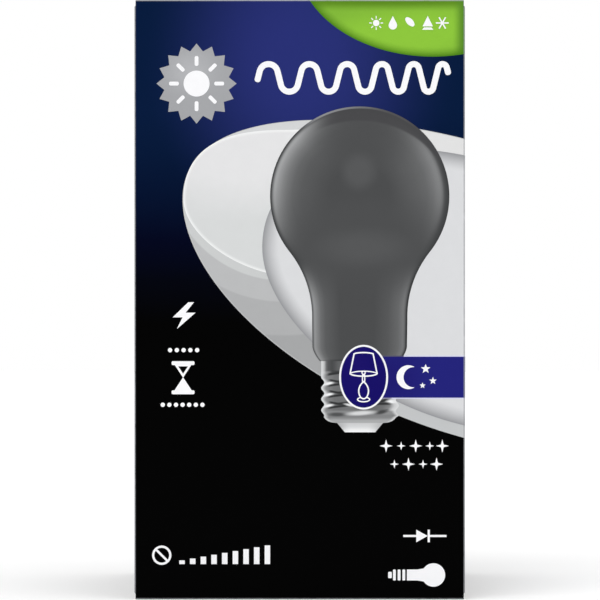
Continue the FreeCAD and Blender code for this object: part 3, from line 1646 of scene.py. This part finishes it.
@dataclass
class Signs:
    """White signs in the places of the words, each drawn round its own place on the panel."""

    press: Press
    white: Ink = Ink("sign_white", colour=(251, 251, 253))
    burst_ink: Ink = Ink(
        "burst_grey", (Tint((182, 183, 186), (-21.0, 101.5), (7.0, 6.0)),), colour=(166, 167, 170)
    )
    sun: Place = (-19.81, 99.11)
    wave: Place = (-8.2, 99.4)
    wave_bend: float = 76.0
    wave_height: float = 5.3
    wave_radii: Place = (1.75, 0.83)
    wave_turns: int = 11
    weather: Place = (14.7, 110.75)
    bolt: Place = (-22.0, 54.5)
    hourglass: Place = (-22.4, 42.6)
    moon: Place = (20.9, 42.7)
    sparkles: Place = (22.0, 26.0)
    diode: Place = (24.8, 12.2)
    lying_bulb: Place = (25.7, 4.7)
    crossed_ring: Place = (-26.5, 8.5)

    @staticmethod
    def _rays(sign: Drawing, radius: float, sizes: Place, rounding: float = 0.0) -> None:
        """Draw eight rays round a drawing's origin.

        Args:
            sign: The drawing.
            radius: How far out the middle of each ray lies.
            sizes: Length and width of a ray.
            rounding: Radius of its corners.
        """
        for ray, spot in enumerate(arc((0.0, 0.0), (radius, radius), 0, 315, 8)):
            sign.bar(spot, sizes, -45 * ray, rounding)

    def _burst(self) -> Drawing:
        """Draw the burst beneath the sun."""
        return Drawing("sun_burst", self.sun).star((0.0, 0.0), tips=16, outer=7.7, inner=6.3)

    def _sun(self) -> Drawing:
        """Draw a sun with rounded rays.

        Returns:
            The drawing.
        """
        sign = Drawing("sun_sign", self.sun).disc((0.0, 0.0), (2.5, 2.5))
        self._rays(sign, 4.35, (1.9, 0.75), 0.3)
        return sign

    def _wave(self) -> Drawing:
        """Draw a wave that grows shorter from left to right.

        Returns:
            The drawing.
        """
        bend = self.wave_bend
        slant = math.radians(bend)
        first, last = self.wave_radii
        steps = self.wave_turns - 1
        radii = [first + (last - first) * step / steps for step in range(self.wave_turns)]
        runs = [(1.5, 0.0)]
        side = -1
        for radius, following in zip(radii, radii[1:]):
            runs.append((2 * radius * slant, side * 2 * bend))
            height = self.wave_height - (radius + following) * (1 - math.cos(slant))
            runs.append((height / math.sin(slant), 0.0))
            side = -side
        runs += [(2 * radii[-1] * slant, side * 2 * bend), (1.5, 0.0)]
        return Drawing("wave_sign", self.wave).stroke(bend, runs, 1.15)

    def _weather(self) -> Drawing:
        """Draw a small sun, a drop, a leaf, a fir and a snowflake.

        Returns:
            The drawing.
        """
        sign = Drawing("weather_sign", self.weather).disc((0.0, 0.0), (0.62, 0.62), 24)
        self._rays(sign, 1.08, (0.5, 0.2))
        sign.polygon([*arc((3.2, -0.45), (0.82, 0.82), 150, 390, 18), (3.2, 1.35)])
        leaf = arc((5.7, -0.55), (1.7, 1.7), 5, 85, 12) + arc((7.25, 1.0), (1.7, 1.7), 185, 265, 12)
        sign.polygon(leaf)
        sign.polygon([(8.9, -0.65), (10.9, -0.65), (9.9, 1.35)])
        sign.polygon([(9.2, -0.85), (8.8, -1.3), (11.0, -1.3), (10.6, -0.85)])
        for turn in (0, 60, 120):
            sign.bar((12.7, 0.0), (2.5, 0.26), turn)
        return sign

    def _power(self) -> Drawing:
        """Draw a lightning bolt.

        Returns:
            The drawing.
        """
        outline = [
            (0.6, 2.6), (-2.4, -0.3), (-0.5, -0.3), (-1.6, -2.55), (2.0, 0.6), (0.1, 0.6), (1.7, 2.6),
        ]
        return Drawing("bolt_sign", self.bolt).polygon(outline)

    def _time(self) -> Drawing:
        """Draw an hourglass between two rows of dots.

        Returns:
            The drawing.
        """
        sign = Drawing("time_sign", self.hourglass)
        for count, left, spacing, height in ((5, -2.5, 1.3, 5.3), (7, -3.9, 1.27, -5.2)):
            for step in range(count):
                sign.disc((left + spacing * step, height), (0.42, 0.42), 20)
        for height in (2.8, -2.8):
            sign.bar((0.0, height), (4.4, 0.75), rounding=0.25)
        sign.polygon([(-1.7, 2.6), (0.0, 0.0), (1.7, 2.6)]).hollow(0.42)
        return sign.polygon([(-1.7, -2.5), (1.7, -2.5), (0.0, 0.1)])

    def _night(self) -> Drawing:
        """Draw a crescent moon and three stars.

        Returns:
            The drawing.
        """
        outer = arc((0.0, 0.0), (2.3, 2.3), 62, 298, 28)
        inner = arc((1.0, 0.0), (1.95, 1.95), 272, 88, 22)
        sign = Drawing("night_sign", self.moon).polygon(outer + inner)
        for middle, tip, notch in (
            ((3.3, 1.6), 0.95, 0.4),
            ((4.7, -0.7), 0.75, 0.32),
            ((2.7, -1.6), 0.6, 0.26),
        ):
            sign.star(middle, 5, tip, notch)
        return sign

    def _sparkle(self) -> Drawing:
        """Draw two rows of four-tipped sparkles, small and large by turns.

        Returns:
            The drawing.
        """
        sign = Drawing("sparkle_sign", self.sparkles)
        rows = (
            (3.5, (1.25, 0.85), (-5.4, -2.5, 0.3, 3.0, 5.4)),
            (0.0, (0.85, 1.25), (-3.8, -1.1, 1.7, 4.3)),
        )
        for height, reaches, places in rows:
            for index, across in enumerate(places):
                reach = reaches[index % 2]
                sign.star((across, height), 4, reach, 0.3 * reach)
        return sign

    def _diode(self) -> Drawing:
        """Draw a diode's sign: a triangle against a bar, on a line.

        Returns:
            The drawing.
        """
        sign = Drawing("diode_sign", self.diode).bar((-3.6, 0.0), (2.6, 0.4))
        sign.polygon([(-2.4, -1.2), (-0.2, 0.0), (-2.4, 1.2)])
        return sign.bar((0.0, 0.0), (0.42, 2.4)).bar((1.8, 0.0), (3.2, 0.4))

    def _count(self) -> Drawing:
        """Draw one light bulb lying on its side.

        Returns:
            The drawing.
        """
        head = arc((0.0, 0.0), (2.25, 2.25), -146, 146, 36)
        neck = [(-3.1, 1.05), (-5.1, 1.05), (-5.1, -1.05), (-3.1, -1.05)]
        sign = Drawing("count_sign", self.lying_bulb).polygon(head + neck)
        for across in (-5.7, -6.6, -7.5):
            sign.bar((across, 0.0), (0.55, 2.1), rounding=0.15)
        return sign.bar((-8.35, 0.0), (0.7, 1.2), rounding=0.15)

    def _dimmer(self) -> Drawing:
        """Draw a crossed-out ring and a row of rising bars.

        Returns:
            The drawing.
        """
        sign = Drawing("dimmer_sign", self.crossed_ring).disc((0.0, 0.0), (1.85, 1.85)).hollow(0.42)
        sign.bar((0.0, 0.0), (3.2, 0.42), 45)
        for step in range(9):
            height = 0.7 + 0.36 * step
            sign.bar((3.9 + 2.05 * step, height / 2 - 1.7), (1.05, height))
        return sign

    def build(self) -> list[Piece]:
        """Draw and press all signs.

        Returns:
            The pieces.
        """
        pieces = [self.press.press(self._burst(), Layer.FIELD, self.burst_ink, Slot.GREY)]
        for draw in (
            self._sun, self._wave, self._weather, self._power, self._time,
            self._night, self._sparkle, self._diode, self._count, self._dimmer,
        ):
            pieces.append(self.press.press(draw(), Layer.SIGN, self.white, Slot.WHITE))
        return pieces


@dataclass(frozen=True)
class SunLamp:
    """A soft lamp far away. Its azimuth runs from the front towards the right, in degrees."""

    name: str
    strength: float
    azimuth: float
    elevation: float
    width: float

    def add(self) -> None:
        """Hang the lamp."""
        way = (QUARTER - math.radians(self.elevation), 0, math.radians(self.azimuth))
        bpy.ops.object.light_add(type="SUN", location=(0, 0, 1), rotation=way)
        lamp = bpy.context.object
        lamp.name = self.name
        lamp.data.energy = self.strength
        lamp.data.angle = math.radians(self.width)


@dataclass
class Studio:
    """A pale floor, a white background, plain soft light and the photograph's camera."""

    camera_place: tuple[float, float, float] = (0.063, -672.2, 57.53)
    lens: float = 200.0
    sensor: float = 36.0
    clip: tuple[float, float] = (0.01, 20.0)
    lamps: tuple[SunLamp, ...] = (
        SunLamp("key", 0.7, -35, 50, 45),
        SunLamp("fill", 0.45, 50, 30, 60),
        SunLamp("overhead", 0.45, 0, 88, 40),
        SunLamp("back_light", 0.2, 165, 35, 40),
    )
    ambient: float = 0.53
    mirrored_behind: tuple[float, float] = (-0.7, 0.5)
    mirrored_above: tuple[float, float] = (0.55, 0.95)
    overhead_share: float = 0.8
    floor_size: float = 4.0
    floor_drop: float = 0.02
    floor_colour: Colour = (253, 253, 253)
    floor_glow: float = 0.18

    def _camera(self) -> None:
        """Place the camera straight in front, so that the front panel fills the frame's height."""
        place = Vector(self.camera_place) * MM
        bpy.ops.object.camera_add(location=place, rotation=(QUARTER, 0, 0))
        camera = bpy.context.object
        camera.data.lens = self.lens
        camera.data.sensor_width = self.sensor
        camera.data.clip_start, camera.data.clip_end = self.clip
        bpy.context.scene.camera = camera

    def _world(self) -> None:
        """Light the scene evenly, show white behind it, and mirror white from the back and above."""
        world = bpy.data.worlds.new("studio")
        world.use_nodes = True
        world.cycles.sampling_method = "NONE"
        bpy.context.scene.world = world
        graph = Graph(world.node_tree)
        rays = graph.node("ShaderNodeLightPath").outputs
        _, y, z = graph.parts(graph.node("ShaderNodeTexCoord").outputs["Generated"])
        behind = graph.between(y, *self.mirrored_behind, 0.0, 1.0)
        above = graph.between(z, *self.mirrored_above, 0.0, self.overhead_share)
        seen = graph.math("MAXIMUM", rays["Is Glossy Ray"], rays["Is Transmission Ray"])
        mirrored = graph.math("MAXIMUM", behind, above)
        strength = graph.blend(seen, self.ambient, mirrored)
        strength = graph.math("MAXIMUM", strength, rays["Is Camera Ray"])
        white = {"Color": (1.0, 1.0, 1.0, 1.0), "Strength": strength}
        light = graph.node("ShaderNodeBackground", white).outputs[0]
        graph.node("ShaderNodeOutputWorld", {"Surface": light})

    def _floor(self) -> None:
        """Lay the pale floor, with a slight glow of its own that keeps it white."""
        place = (0, 0, -self.floor_drop * MM)
        bpy.ops.mesh.primitive_plane_add(size=self.floor_size, location=place)
        floor = bpy.context.object
        floor.name = "floor"
        surface = Surface("floor_paper")
        cloud = surface.noise(surface.solid, 0.009, 3.0)
        sockets = {
            "Base Color": surface.mix(cloud, linear(self.floor_colour), linear((255, 255, 255))),
            "Roughness": 0.95,
            "Specular IOR Level": 0.1,
            "Emission Color": (1.0, 1.0, 1.0, 1.0),
            "Emission Strength": self.floor_glow,
        }
        floor.data.materials.append(surface.finished(sockets))

    def build(self) -> None:
        """Set up the camera, the light and the floor."""
        bpy.context.scene.view_settings.view_transform = "Standard"
        self._camera()
        self._world()
        for lamp in self.lamps:
            lamp.add()
        self._floor()
        LOG.info("studio ready")


def main() -> None:
    """Build the studio and every sub-assembly in order, and report each piece."""
    logging.basicConfig(level=logging.INFO, format="%(name)s: %(message)s")
    bpy.ops.object.select_all(action="DESELECT")
    Studio().build()
    make_soft_spot()
    make_fold_line()
    make_film()
    sheet = Sheet(*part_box("carton"))
    press = Press(sheet)
    CartonBoard(sheet).build()
    CornerField(press).build()
    PaleSweep(press).build()
    BulbPicture(press).build()
    LightBand(press).build()
    Signs(press).build()


if __name__ == "__main__":
    main()
